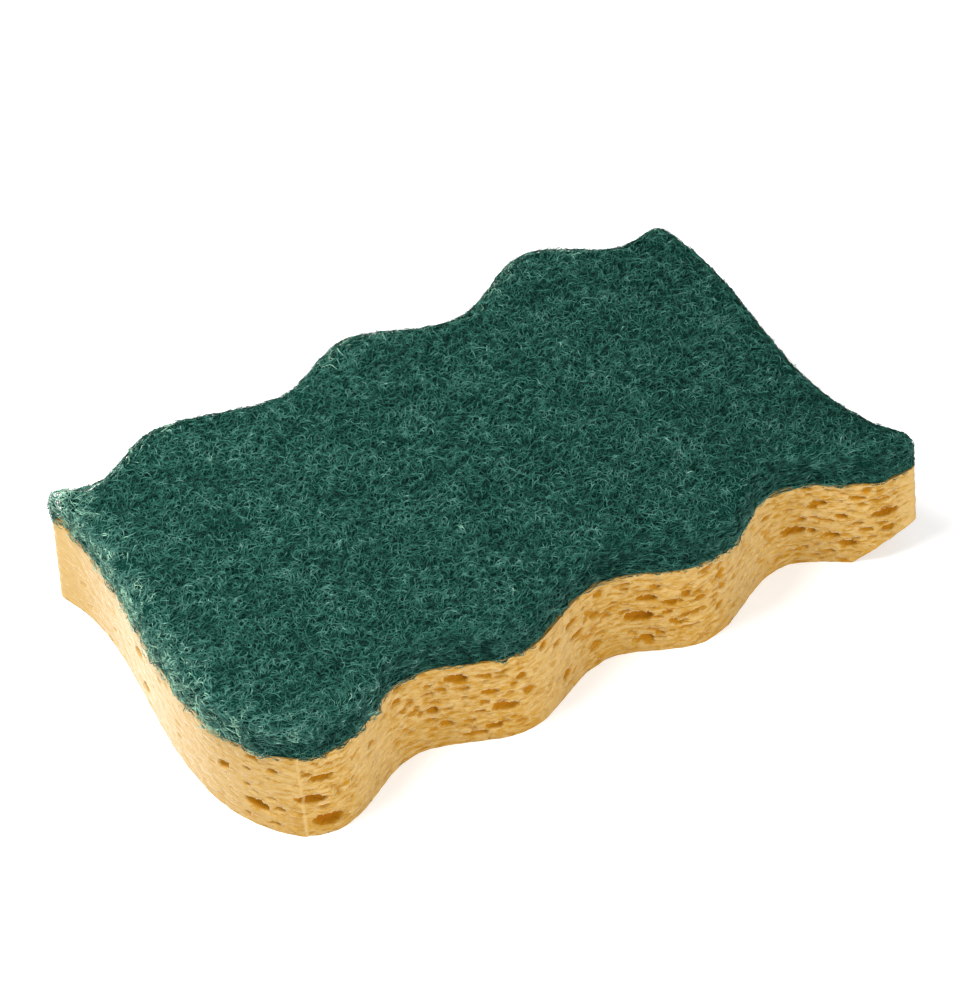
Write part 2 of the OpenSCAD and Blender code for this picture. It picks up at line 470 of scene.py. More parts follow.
class Nodes:
    """A short way to write a node tree."""

    def __init__(self, owner: bpy.types.Material | bpy.types.World) -> None:
        """Empties the owner's node tree.

        Args:
            owner: What the tree belongs to.
        """
        owner.use_nodes = True
        self.owner = owner
        self.tree = owner.node_tree
        self.tree.nodes.clear()

    def add(self, kind: str, inputs: dict[str | int, object] | None = None,
            **settings: str) -> bpy.types.Node:
        """Adds a node.

        Args:
            kind: The node's type, without ShaderNode.
            inputs: Socket name or number to a value or another node's output.
            **settings: Settings of the node.

        Returns:
            The node.
        """
        node = self.tree.nodes.new("ShaderNode" + kind)
        for key, value in settings.items():
            setattr(node, key, value)
        for key, value in (inputs or {}).items():
            socket = node.inputs[key]
            if isinstance(value, bpy.types.NodeSocket):
                self.tree.links.new(value, socket)
            else:
                socket.default_value = value
        return node

    def noise(self, vector: bpy.types.NodeSocket, scale: float, detail: float = 3.0,
              roughness: float = 0.55, distortion: float = 0.0) -> bpy.types.NodeSocket:
        """Adds a noise texture.

        Args:
            vector: Where the noise is read.
            scale: Its scale.
            detail: Its octaves.
            roughness: How strong the fine octaves are.
            distortion: How far it is warped.

        Returns:
            The socket with values of about 0 to 1.
        """
        return self.add("TexNoise", {"Vector": vector, "Scale": scale, "Detail": detail,
                                     "Roughness": roughness, "Distortion": distortion}).outputs["Fac"]

    def ramp(self, value: bpy.types.NodeSocket, stops: list[tuple[float, RGB]]) -> bpy.types.NodeSocket:
        """Adds a colour ramp.

        Args:
            value: What drives it.
            stops: Places and linear colours.

        Returns:
            The colour socket.
        """
        node = self.add("ValToRGB", {"Fac": value})
        elements = node.color_ramp.elements
        while len(elements) < len(stops):
            elements.new(0.5)
        for element, (place, colour) in zip(elements, stops):
            element.position = place
            element.color = (*colour, 1.0)
        return node.outputs["Color"]

    def span(self, value: bpy.types.NodeSocket, low: float, high: float,
             to_low: float = 0.0, to_high: float = 1.0) -> bpy.types.NodeSocket:
        """Maps a range of values to another, clamped.

        Args:
            value: The value.
            low: Start of its range.
            high: End of its range.
            to_low: What low becomes.
            to_high: What high becomes.

        Returns:
            The mapped socket.
        """
        return self.add("MapRange", {"Value": value, "From Min": low, "From Max": high,
                                     "To Min": to_low, "To Max": to_high}).outputs["Result"]

    def math(self, operation: str, a: Value, b: Value) -> bpy.types.NodeSocket:
        """Adds a calculation with two values.

        Args:
            operation: Name of the operation.
            a: First socket or number.
            b: Second socket or number.

        Returns:
            The result.
        """
        return self.add("Math", {0: a, 1: b}, operation=operation).outputs[0]

    def mix(self, share: Value, a: Colour, b: Colour) -> bpy.types.NodeSocket:
        """Mixes two colours.

        Args:
            share: How much of b, a socket or number.
            a: First colour.
            b: Second colour.

        Returns:
            The colour socket.
        """
        a, b = (v if isinstance(v, bpy.types.NodeSocket) else (*v, 1.0) for v in (a, b))
        return self.add("Mix", {0: share, 6: a, 7: b}, data_type="RGBA").outputs[2]

    def bump(self, height: bpy.types.NodeSocket, distance: float, strength: float) -> bpy.types.NodeSocket:
        """Adds a bump.

        Args:
            height: What is raised.
            distance: How far, in metres.
            strength: How strong it shows.

        Returns:
            The normal socket.
        """
        node = self.add("Bump", {"Height": height, "Distance": distance, "Strength": strength})
        return node.outputs["Normal"]

    def finish(self, shader: bpy.types.NodeSocket) -> bpy.types.Material:
        """Ends the tree.

        Args:
            shader: The surface shader.

        Returns:
            The material.
        """
        self.add("OutputMaterial", {"Surface": shader})
        return self.owner


@dataclass(frozen=True)
class CelluloseFinish:
    """Yellow cellulose with streaky cells and orange pores."""

    pale: RGB = (0.505, 0.338, 0.126)
    warm: RGB = (0.405, 0.222, 0.034)
    pit: RGB = (0.375, 0.160, 0.003)
    # deep is painted shade for the bottom of the deepest pores.
    deep: RGB = (0.35, 0.125, 0.002)
    foot_specks_and_shadow: RGB = (0.05, 0.03, 0.015)
    roughness: float = 0.8
    specular: float = 0.12
    sheen: float = 0.85
    sheen_roughness: float = 0.22
    sheen_tint: RGB = (1.0, 0.97, 0.9)
    seam_half_mm: float = 0.38
    stretch: tuple[float, float, float] = (0.42, 1.15, 1.0)

    def cells(self, n: Nodes, flat: bpy.types.NodeSocket, streak: bpy.types.NodeSocket,
              fine: bpy.types.NodeSocket) -> bpy.types.NodeSocket:
        """Small open cells in two sizes, drawn out along the wall.

        Args:
            n: The material's nodes.
            flat: Stretched place on the wall.
            streak: Coarse noise that keeps the cells in groups.
            fine: Fine noise that breaks up the smaller ones.

        Returns:
            1 in a cell, 0 between them.
        """
        large = n.add("TexVoronoi", {"Vector": flat, "Scale": 1.0, "Randomness": 1.0}, feature="SMOOTH_F1")
        small = n.add("TexVoronoi", {"Vector": flat, "Scale": 2.2, "Randomness": 1.0}, feature="F1")
        pits = n.math("MULTIPLY", n.span(large.outputs["Distance"], 0.42, 0.06), n.span(streak, 0.62, 0.36))
        dots = n.math("MULTIPLY", n.span(small.outputs["Distance"], 0.38, 0.08), n.span(fine, 0.60, 0.40))
        return n.math("MAXIMUM", n.span(pits, 0.08, 0.5), n.math("MULTIPLY", dots, 0.8))

    def tone(self, n: Nodes, place: bpy.types.NodeSocket, up: bpy.types.NodeSocket,
             soft: bpy.types.NodeSocket, pits: bpy.types.NodeSocket) -> bpy.types.NodeSocket:
        """How orange the cellulose is, before the large pores.

        Args:
            n: The material's nodes.
            place: Place on the wall.
            up: Height on the wall, because the foot is a little darker.
            soft: The streaks.
            pits: The small cells.

        Returns:
            About 0 where it is pale, 1 where it is orange.
        """
        tone = n.math("ADD", n.math("MULTIPLY", soft, 0.42), n.math("MULTIPLY", pits, 0.55))
        tone = n.math("ADD", tone, n.span(n.noise(place, 0.13, 3.0, 0.5), 0.35, 0.7, -0.06, 0.10))
        tone = n.math("ADD", tone, n.span(up, 9.0, 0.0, 0.0, 0.13))
        return n.math("ADD", tone, n.span(n.noise(place, 6.5, 2.0, 0.6), 0.3, 0.7, -0.11, 0.11))

    def material(self, seam_run: float) -> bpy.types.Material:
        """Builds the material.

        Args:
            seam_run: Running length at which the pale seam stands.

        Returns:
            The material.
        """
        n = Nodes(bpy.data.materials.new("cellulose"))
        place = n.add("UVMap", uv_map=Layer.WALL_MAP.value).outputs["UV"]
        apart = n.add("SeparateXYZ", {"Vector": place})
        run, up = apart.outputs["X"], apart.outputs["Y"]
        flat = n.add("Mapping", {"Vector": place, "Scale": self.stretch}).outputs["Vector"]
        depth = n.add("Attribute", attribute_name=Layer.DEPTH.value).outputs["Fac"]
        opened_and_lit = n.add("Attribute", attribute_name=Layer.OPEN.value).outputs["Fac"]
        streak = n.noise(flat, 1.15, 5.0, 0.62, 0.6)
        fine = n.noise(flat, 3.6, 4.0, 0.65, 0.4)
        soft = n.span(streak, 0.60, 0.36)
        pits = self.cells(n, flat, streak, fine)
        # Less open cells leave the wall paler: partly its smoother cut, partly painted light on slanted and
        # left-lit walls.
        tone = n.math("MULTIPLY", self.tone(n, place, up, soft, pits), opened_and_lit)
        base = n.ramp(tone, [(0.0, self.pale), (0.42, self.warm), (1.0, self.pit)])
        base = n.mix(n.span(depth, 0.06, 0.55), base, self.pit)
        # Painted shade: the deepest pores turn darker still.
        base = n.mix(n.span(depth, 0.7, 2.0), base, self.deep)
        # Dark specks on the lowest 0.7 mm of the wall: partly the cut edge's own specks, partly painted
        # contact shadow.
        foot_specks_and_shadow = n.math("MULTIPLY", n.span(n.noise(place, 1.0, 2.0, 0.5), 0.62, 0.70), n.span(up, 0.7, 0.1))
        base = n.mix(foot_specks_and_shadow, base, self.foot_specks_and_shadow)
        from_seam = n.math("ABSOLUTE", n.math("SUBTRACT", run, seam_run), 0.0)
        base = n.mix(n.span(from_seam, self.seam_half_mm, 0.14, 0.0, 0.9), base, self.pale)
        hollow = n.math("MULTIPLY", n.math("ADD", pits, soft), 0.5)
        height = n.math("SUBTRACT", n.math("MULTIPLY", fine, 0.3), hollow)
        height = n.math("MULTIPLY", height, n.math("ADD", n.math("MULTIPLY", opened_and_lit, 0.75), 0.25))
        normal = n.bump(height, 0.45 * MM, 0.5)
        shader = n.add("BsdfPrincipled", {
            "Base Color": base, "Roughness": self.roughness, "Normal": normal,
            "Specular IOR Level": self.specular, "Sheen Weight": self.sheen,
            "Sheen Roughness": self.sheen_roughness, "Sheen Tint": (*self.sheen_tint, 1.0),
        })
        return n.finish(shader.outputs["BSDF"])


@dataclass(frozen=True)
class CoreFinish:
    """The inside of the web, seen between its fibres: its dye darkened as painted shade."""

    dark: RGB = (0.0030, 0.0215, 0.0165)
    light: RGB = (0.0145, 0.078, 0.059)
    roughness: float = 0.95

    def material(self) -> bpy.types.Material:
        """Builds the material.

        Returns:
            The material.
        """
        n = Nodes(bpy.data.materials.new("web_core"))
        place = n.add("TexCoord").outputs["Object"]
        clumps = n.noise(place, 700.0, 4.0, 0.6, 0.6)
        warp = n.add("TexNoise", {"Vector": place, "Scale": 900.0, "Detail": 2.0})
        shift = n.add("VectorMath", {0: warp.outputs["Color"], 1: (1.1 * MM,) * 3}, operation="MULTIPLY")
        bent = n.add("VectorMath", {0: place, 1: shift.outputs[0]}, operation="ADD").outputs[0]
        loops = n.add("TexVoronoi", {"Vector": bent, "Scale": 1050.0}, feature="DISTANCE_TO_EDGE")
        strand = n.math("MULTIPLY", n.span(loops.outputs["Distance"], 0.10, 0.02), n.span(clumps, 0.38, 0.62))
        base = n.mix(strand, self.dark, self.light)
        height = n.math("ADD", clumps, n.math("MULTIPLY", strand, 0.5))
        shader = n.add("BsdfPrincipled", {
            "Base Color": base, "Roughness": self.roughness, "Specular IOR Level": 0.0,
            "Normal": n.bump(height, 0.4 * MM, 0.8),
        })
        return n.finish(shader.outputs["BSDF"])


@dataclass(frozen=True)
class FibreFinish:
    """Dyed green fibres. The ramp's dark end is painted shade for the ones below, and its light and
    pale end is painted light for the ones on top, the edges and the glints.
    """

    dark: RGB = (0.0026, 0.0240, 0.0175)
    mid: RGB = (0.0145, 0.080, 0.060)
    light: RGB = (0.056, 0.156, 0.126)
    pale: RGB = (0.20, 0.38, 0.28)
    roughness: float = 0.6
    specular: float = 0.08

    def material(self) -> bpy.types.Material:
        """Builds the material.

        Returns:
            The material.
        """
        n = Nodes(bpy.data.materials.new("web_fibre"))
        shade = n.add("Attribute", attribute_name=Layer.SHADE.value).outputs["Fac"]
        place = n.add("TexCoord").outputs["Object"]
        patch = n.noise(place, 110.0, 3.0, 0.6)
        # Painted shade in the web's small holes, with lighter tufts between them.
        hole_shade_and_tufts = n.noise(place, 620.0, 2.0, 0.5)
        grain = n.noise(place, 1300.0, 2.0, 0.6)
        value = n.math("ADD", shade, n.span(patch, 0.3, 0.7, -0.13, 0.13))
        value = n.math("ADD", value, n.span(hole_shade_and_tufts, 0.32, 0.68, -0.28, 0.22))
        value = n.math("ADD", value, n.span(grain, 0.3, 0.7, -0.15, 0.15))
        # The dark stop holds painted shade, the light and pale stops painted light.
        base = n.ramp(value, [(0.0, self.dark), (0.38, self.mid), (0.78, self.light), (1.0, self.pale)])
        shader = n.add("BsdfPrincipled", {
            "Base Color": base, "Roughness": self.roughness, "Specular IOR Level": self.specular,
        })
        return n.finish(shader.outputs["BSDF"])


@dataclass(frozen=True)
class FloorFinish:
    """A plain pale floor."""

    tint: RGB = (0.72, 0.72, 0.72)
    glow: float = 0.44

    def material(self) -> bpy.types.Material:
        """Builds the material.

        Returns:
            The material.
        """
        n = Nodes(bpy.data.materials.new("studio_floor"))
        seen = n.add("LightPath").outputs["Is Camera Ray"]
        shader = n.add("BsdfPrincipled", {
            "Base Color": (*self.tint, 1.0), "Roughness": 0.9, "Specular IOR Level": 0.0,
            "Emission Color": WHITE, "Emission Strength": n.math("MULTIPLY", seen, self.glow)})
        return n.finish(shader.outputs["BSDF"])


# The sponge block


@dataclass(frozen=True)
class Pore:
    """One eye-shaped pore of a wall, in millimetres."""

    run: float
    height: float
    wide: float
    tall: float
    depth: float
    lean: float


@dataclass
class SpongeBlock:
    """The cellulose block, with real pores in its walls and underside.

    A row of front_pores holds a pore's place along X, its height on the wall, its width and
    how tall it is. A row of left_pores starts with a running length instead, and a row of
    openness_and_painted_light is a running length and how open the cells are there, from 0 to 1.
    A low share also paints the wall paler: partly its smoother cut, partly painted light where
    the wall is seen at a slant or lit from the left.
    """

    outline: Outline
    edge: EdgeField
    finish: CelluloseFinish
    thickness_mm: float = 18.4
    worn_rise: float = 5.8
    worn_run: float = 11.1
    rows: int = 62
    column_count: int = 1261
    front_step: float = 0.30
    back_step: float = 0.62
    front_reach: tuple[float, float] = (-95.0, 140.0)
    samples: int = 6001
    scattered: int = 1700
    seed: int = 11
    corner_pore: Pore = Pore(-22.5, 10.9, 2.9, 1.9, 0.8, 0.45)
    base_pores: int = 56
    base_margin: float = 8.0
    rest_spot: float = 16.0
    spread: tuple[float, float, float] = (0.61803, 0.75488, 0.56984)
    base_open: float = 0.9
    skin_step: float = 1.3
    hidden_step: float = 4.0
    map_shift: float = 40.0
    split: float = 232.0
    closing_length: float = 8.0
    seam_x: float = -63.4
    flare: float = 0.9
    front_pores: tuple[tuple[float, float, float, float], ...] = (
        (-68.6, 5.2, 5.4, 2.5), (-70.5, 11.1, 2.8, 1.6), (-66.4, 5.6, 2.2, 1.2), (-68.5, 16.3, 2.6, 1.1),
        (-66.7, 14.6, 2.4, 1.2), (-69.0, 13.2, 1.8, 1.0), (-69.1, 9.2, 1.3, 0.9), (-67.1, 1.9, 2.0, 0.8),
        (-69.4, 1.9, 1.5, 0.8), (-60.0, 13.3, 4.9, 1.4), (-62.3, 8.6, 6.1, 2.0), (-59.8, 3.2, 6.1, 2.9),
        (-53.6, 9.3, 1.5, 0.9), (-47.9, 12.0, 2.4, 1.3), (-39.9, 14.7, 2.2, 1.3), (-37.0, 13.0, 1.5, 0.9),
        (-28.9, 15.4, 4.4, 2.0), (-33.5, 14.7, 1.6, 0.9), (-33.1, 8.9, 2.2, 1.8), (-35.3, 8.9, 1.3, 1.2),
        (-35.9, 10.7, 1.2, 1.1), (-38.5, 7.0, 1.4, 0.8), (-37.6, 5.7, 1.6, 0.8), (-41.2, 6.4, 2.0, 0.8),
        (-31.2, 5.3, 2.4, 1.1), (-27.7, 1.9, 3.0, 0.9), (-34.6, 1.5, 1.5, 0.7), (-27.0, 5.3, 1.6, 0.8),
        (-27.2, 3.5, 2.0, 0.7), (-24.9, 9.3, 2.0, 1.1), (-25.0, 15.4, 2.2, 0.9), (-28.4, 13.0, 2.0, 0.7),
        (-23.9, 11.4, 3.4, 1.3), (-21.5, 7.4, 5.2, 1.7), (-23.7, 3.2, 3.4, 1.4), (-18.0, 13.1, 2.2, 1.6),
        (-19.7, 12.1, 1.4, 1.2), (-16.6, 9.3, 2.4, 1.2), (-20.4, 10.3, 1.6, 0.8), (-12.4, 16.6, 2.2, 1.5),
        (-24.0, 15.0, 1.6, 0.8), (-8.3, 13.8, 3.0, 1.2), (-3.8, 14.4, 4.0, 1.5), (-2.5, 10.7, 4.2, 1.3),
        (-6.2, 4.4, 3.0, 1.9), (0.1, 12.0, 1.4, 1.1), (2.2, 11.9, 2.4, 1.4), (3.3, 16.4, 2.4, 1.1),
        (4.4, 10.1, 2.4, 0.9), (6.0, 12.6, 1.8, 0.8), (2.2, 5.1, 2.4, 1.0), (10.1, 8.5, 5.5, 2.5),
        (11.1, 3.2, 2.8, 1.9), (13.1, 4.2, 1.6, 1.2), (12.9, 15.2, 2.2, 1.1), (8.1, 15.3, 1.8, 0.8),
        (11.5, 12.6, 4.0, 1.5), (14.9, 11.2, 3.0, 1.5), (14.5, 8.9, 2.0, 1.1), (15.4, 6.7, 1.7, 1.3),
        (17.8, 12.7, 1.9, 1.7), (16.2, 11.4, 1.6, 0.9), (20.6, 10.7, 2.4, 1.3), (25.3, 13.2, 2.6, 1.2),
        (18.4, 7.9, 4.0, 0.9), (16.2, 6.0, 1.4, 1.2), (23.9, 9.3, 1.8, 1.0), (25.0, 6.5, 2.6, 1.2),
        (18.8, 5.0, 3.0, 0.7), (22.1, 16.7, 4.0, 0.9), (20.0, 1.1, 2.0, 0.7), (46.3, 8.0, 4.7, 2.0),
        (49.2, 7.5, 1.6, 1.4), (50.4, 14.1, 3.4, 1.4), (52.1, 6.6, 3.2, 1.3), (54.2, 4.6, 3.8, 1.6),
        (53.5, 11.0, 2.4, 1.4), (48.2, 3.7, 1.3, 1.0), (60.5, 11.0, 6.1, 1.8), (61.0, 7.4, 3.2, 1.6),
        (55.8, 15.4, 3.4, 1.0), (55.8, 9.3, 2.2, 0.9), (57.0, 7.9, 3.0, 0.9), (47.8, 10.5, 1.8, 0.9),
        (45.6, 13.1, 2.2, 0.8), (49.0, 16.1, 1.6, 0.7), (41.0, 13.8, 3.0, 0.9), (59.5, 16.7, 1.8, 0.8),
        (57.4, 16.9, 1.8, 0.7), (42.8, 2.0, 2.0, 0.7), (51.9, 2.7, 1.8, 0.8),
    )
    # Shares of open cells, which also paint the left wall, the flanks and the right end paler as painted
    # light.
    openness_and_painted_light: tuple[tuple[float, float], ...] = (
        (-104, 0.85), (-95, 0.16), (-32, 0.2), (-16, 0.5), (-6, 0.95), (2, 1), (7, 0.55), (14, 0.55), (20, 1),
        (44, 1), (50, 0.65), (57, 0.65), (64, 1), (88, 1), (95, 0.55), (103, 0.55), (109, 1), (131, 1),
        (134, 0.4), (142, 0.4), (160, 0.85),
    )
    left_pores: tuple[tuple[float, float, float, float], ...] = (
        (-57.0, 11.7, 4.4, 2.4), (-55.5, 4.5, 3.8, 2.0), (-84.0, 8.0, 2.4, 1.1), (-83.0, 3.2, 2.2, 1.0),
        (-72.0, 5.6, 2.2, 1.0), (-45.0, 14.4, 2.2, 1.0), (-38.0, 6.6, 2.4, 1.1), (-29.5, 2.6, 2.0, 0.9),
        (-76.0, 14.8, 1.8, 0.8), (-64.0, 8.2, 1.6, 0.8), (-34.0, 12.2, 1.8, 0.8), (-50.0, 9.0, 1.5, 0.8),
    )

    def columns(self) -> np.ndarray:
        """Running lengths of the wall's columns, closer together where the front shows them.

        Returns:
            The running lengths, which start and end at the same place of the back.
        """
        s = np.linspace(self.split - self.outline.total, self.split, self.samples)
        front = (s > self.front_reach[0]) & (s < self.front_reach[1])
        run = np.r_[0, np.cumsum(np.where(front, 1 / self.front_step, 1 / self.back_step)[:-1])]
        return np.interp(np.linspace(0, run[-1], self.column_count), run, s)

    def pores(self) -> list[Pore]:
        """The pores of the walls.

        Returns:
            The large pores at the front and the scattered ones all round.
        """
        rng = np.random.default_rng(self.seed)
        out = []
        for x, z, w, h in self.front_pores:
            share = 1.0 if x > self.seam_x - 3 else 0.7
            out.append(Pore(self.outline.place_on_front(x), z, w, h, (0.45 * h + 0.14 * w) * share, -0.05))
        out += [Pore(run, z, w, h, 0.18 * h, 0.3) for run, z, w, h in self.left_pores]
        out.append(self.corner_pore)
        total = self.outline.total
        for _ in range(self.scattered):
            wide = 0.7 + 2.0 * rng.random() ** 2.0
            run = rng.uniform(self.split - total, self.split)
            share = float(self.openness_and_painted_light_at(np.array([run]))[0])
            if rng.random() > share:
                continue
            if not self.front_reach[0] <= run <= self.front_reach[1]:
                wide *= 1.0 + 1.3 * rng.random() ** 3
            tall = wide * rng.uniform(0.26, 0.46)
            out.append(Pore(run, rng.uniform(0.5, self.thickness_mm - 0.5), wide, tall,
                            (0.42 * tall + 0.12 * wide) * share, rng.uniform(-0.22, 0.12)))
        return out

    def openness_and_painted_light_at(self, s: np.ndarray) -> np.ndarray:
        """How open the cut cells are: the left wall and the waves' flanks are smoother. The colour
        also uses it as painted light, paler where the wall is seen at a slant or lit from the left.

        Args:
            s: Running lengths.

        Returns:
            Shares of 0 to 1.
        """
        return np.interp(s, *np.transpose(self.openness_and_painted_light), period=self.outline.total)

    def wall_depth(self, s: np.ndarray, z: np.ndarray) -> np.ndarray:
        """How deep the wall is sunk at each of its points.

        Args:
            s: Running lengths of the columns.
            z: Heights, one row for each row of the wall.

        Returns:
            Depths in millimetres, in the shape of z.
        """
        depth = np.zeros(z.shape)
        total = self.outline.total
        for p in self.pores():
            gap = np.mod(s - p.run + total / 2, total) - total / 2
            near = np.abs(gap) < p.wide / 2
            if not near.any():
                continue
            g = gap[near]
            u = g / (p.wide / 2)
            v = (z[:, near] - p.height - p.lean * g) / (p.tall / 2)
            ragged = 0.10 * np.sin(4.3 * g + 5 * p.run) + 0.07 * np.sin(9.1 * g + 3 * p.run)
            reach = np.maximum(1 - np.abs(u) ** 2.4, 1e-6) ** 0.6
            e = np.abs(v - ragged * (v > 0)) / reach
            profile = p.depth * np.sqrt(reach) * (1 - np.clip(e, 0, 1) ** 4)
            depth[:, near] = np.maximum(depth[:, near], profile)
        return depth

    def relief(self, s: np.ndarray, z: np.ndarray) -> np.ndarray:
        """How far the seam, the flare at the left ear and the rough skin stand out of the wall.

        Args:
            s: Running lengths of the columns.
            z: Heights, one row for each row of the wall.

        Returns:
            Distances in millimetres, in the shape of z.
        """
        at = s - self.outline.place_on_front(self.seam_x)
        seam = np.where(at < 0, np.exp(-(at / 2.6) ** 2), np.exp(-(at / 0.28) ** 2))
        tip = self.outline.run[self.outline.left_tip] - self.outline.total
        flare = np.exp(-((s - tip) / 6.0) ** 2) * self.flare
        flat = np.stack([np.broadcast_to(s[None, :] / 3.0, z.shape), z], axis=-1).reshape(-1, 2)
        rough = 0.07 * wave_noise(flat, 2.2, 3) + 0.05 * wave_noise(flat, 0.9, 4)
        rough = rough.reshape(z.shape) * (0.3 + 0.7 * self.openness_and_painted_light_at(s)[None, :])
        return 0.34 * seam[None, :] + flare[None, :] * (1 - z / self.thickness_mm) - rough - 0.05

    def worn(self, xy: np.ndarray) -> np.ndarray:
        """How high the worn slope under the front right ear leaves the underside.

        Args:
            xy: Points in millimetres, one row each.

        Returns:
            The least height at each point.
        """
        side = np.array([1.0, -1.0]) / math.sqrt(2)
        along = xy @ side - (self.outline.xy @ side).max() + self.worn_run
        knee, rise = 0.5 * self.worn_run, 0.69 * self.worn_rise
        return np.interp(along, [0, knee, 2 * self.worn_run], [0, rise, 3 * self.worn_rise - 2 * rise])

    def walls(self, s: np.ndarray) -> tuple[np.ndarray, np.ndarray, np.ndarray]:
        """Shapes the walls, with their pores, their seam and the worn corner.

        Args:
            s: Running lengths of the columns.

        Returns:
            The points, how deep each lies in a pore, and their heights, row by row.
        """
        xy, out = self.outline.at(s), self.outline.outward(s)
        low = self.worn(xy)
        z = low[None, :] + np.linspace(0, 1, self.rows)[:, None] * (self.thickness_mm - low)[None, :]
        sunk = self.wall_depth(s, z)
        sunk *= np.where(low > 0.1, np.clip((z - low) / 1.6, 0.0, 1.0), 1.0)
        depth = sunk - self.relief(s, z)
        # The last columns turn into the first ones, so that the wall closes without a step.
        closing = np.clip((s - self.split) / self.closing_length + 1, 0, 1)
        depth = depth * (1 - closing) + depth[:, :1] * closing
        return np.concatenate([xy[None] - depth[..., None] * out[None], z[..., None]], axis=-1), sunk, z

    def build(self) -> bpy.types.Object:
        """Makes the block.

        Returns:
            The piece, which replaces the CAD node.
        """
        s = self.columns()
        wall, sunk, z = self.walls(s)
        n, m = len(s), self.rows
        i = np.arange(n - 1)
        quads = np.concatenate([
            np.stack([i + k * n, i + 1 + k * n, i + 1 + (k + 1) * n, i + (k + 1) * n], axis=1)
            for k in range(m - 1)
        ])
        vertices = [wall.reshape(-1, 3)]
        faces = [quads[:, [0, 1, 2]], quads[:, [0, 2, 3]]]
        maps = [np.stack([np.broadcast_to(s[None, :], z.shape), z], axis=-1).reshape(-1, 2)]
        depths = [sunk.reshape(-1)]
        start = n * m
        for row, step in ((0, self.skin_step), (m - 1, self.hidden_step)):
            points, tris = filled("block face", wall[row, :-1, :2], self.edge.inner_points(step))
            if row == 0:
                hollow = self.base_depth(points)
                height = hollow + self.worn(points)
                tris = tris[:, ::-1]
            else:
                hollow, height = np.zeros(len(points)), np.full(len(points), self.thickness_mm)
            vertices.append(np.column_stack([points, height]))
            faces.append(tris + start)
            maps.append(points + self.map_shift)
            depths.append(hollow)
            start += len(points)
        piece = new_mesh("sponge_block", np.concatenate(vertices) * MM, np.concatenate(faces))
        opened_and_lit = np.full(start, self.base_open)
        opened_and_lit[:n * m] = np.tile(self.openness_and_painted_light_at(s), m)
        point_values(piece, Layer.OPEN, opened_and_lit)
        wall_map(piece, np.concatenate(maps))
        point_values(piece, Layer.DEPTH, np.concatenate(depths))
        piece.data.materials.append(self.finish.material(self.outline.place_on_front(self.seam_x)))
        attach(piece, "root")
        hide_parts("cellulose_sponge")
        return piece

    def base_depth(self, points: np.ndarray) -> np.ndarray:
        """How deep the underside is sunk by its round pores.

        Args:
            points: Points of the underside in millimetres.

        Returns:
            The depths in millimetres.
        """
        k = np.arange(1, self.base_pores + 1)
        x = (np.mod(k * self.spread[1], 1) - 0.5) * (self.outline.length - 2 * self.base_margin)
        y = (np.mod(k * self.spread[2], 1) - 0.5) * (self.outline.width - 2 * self.base_margin)
        wide = 2.6 + 4.2 * np.mod(k * self.spread[0], 1) ** 2
        turn = 2 * np.pi * np.mod(k * 0.37, 1)
        sunk = np.zeros(len(points))
        for cx, cy, w, a in zip(x, y, wide, turn):
            if math.hypot(cx, cy) < self.rest_spot / 2 + w:
                continue
            d = points - (cx, cy)
            u = (d[:, 0] * np.cos(a) + d[:, 1] * np.sin(a)) / (w / 2)
            v = (d[:, 1] * np.cos(a) - d[:, 0] * np.sin(a)) / (0.38 * w)
            e = np.clip(np.hypot(u, v), 0, 1)
            sunk = np.maximum(sunk, 0.45 * w * (1 - e ** 3))
        return sunk


# The scouring pad


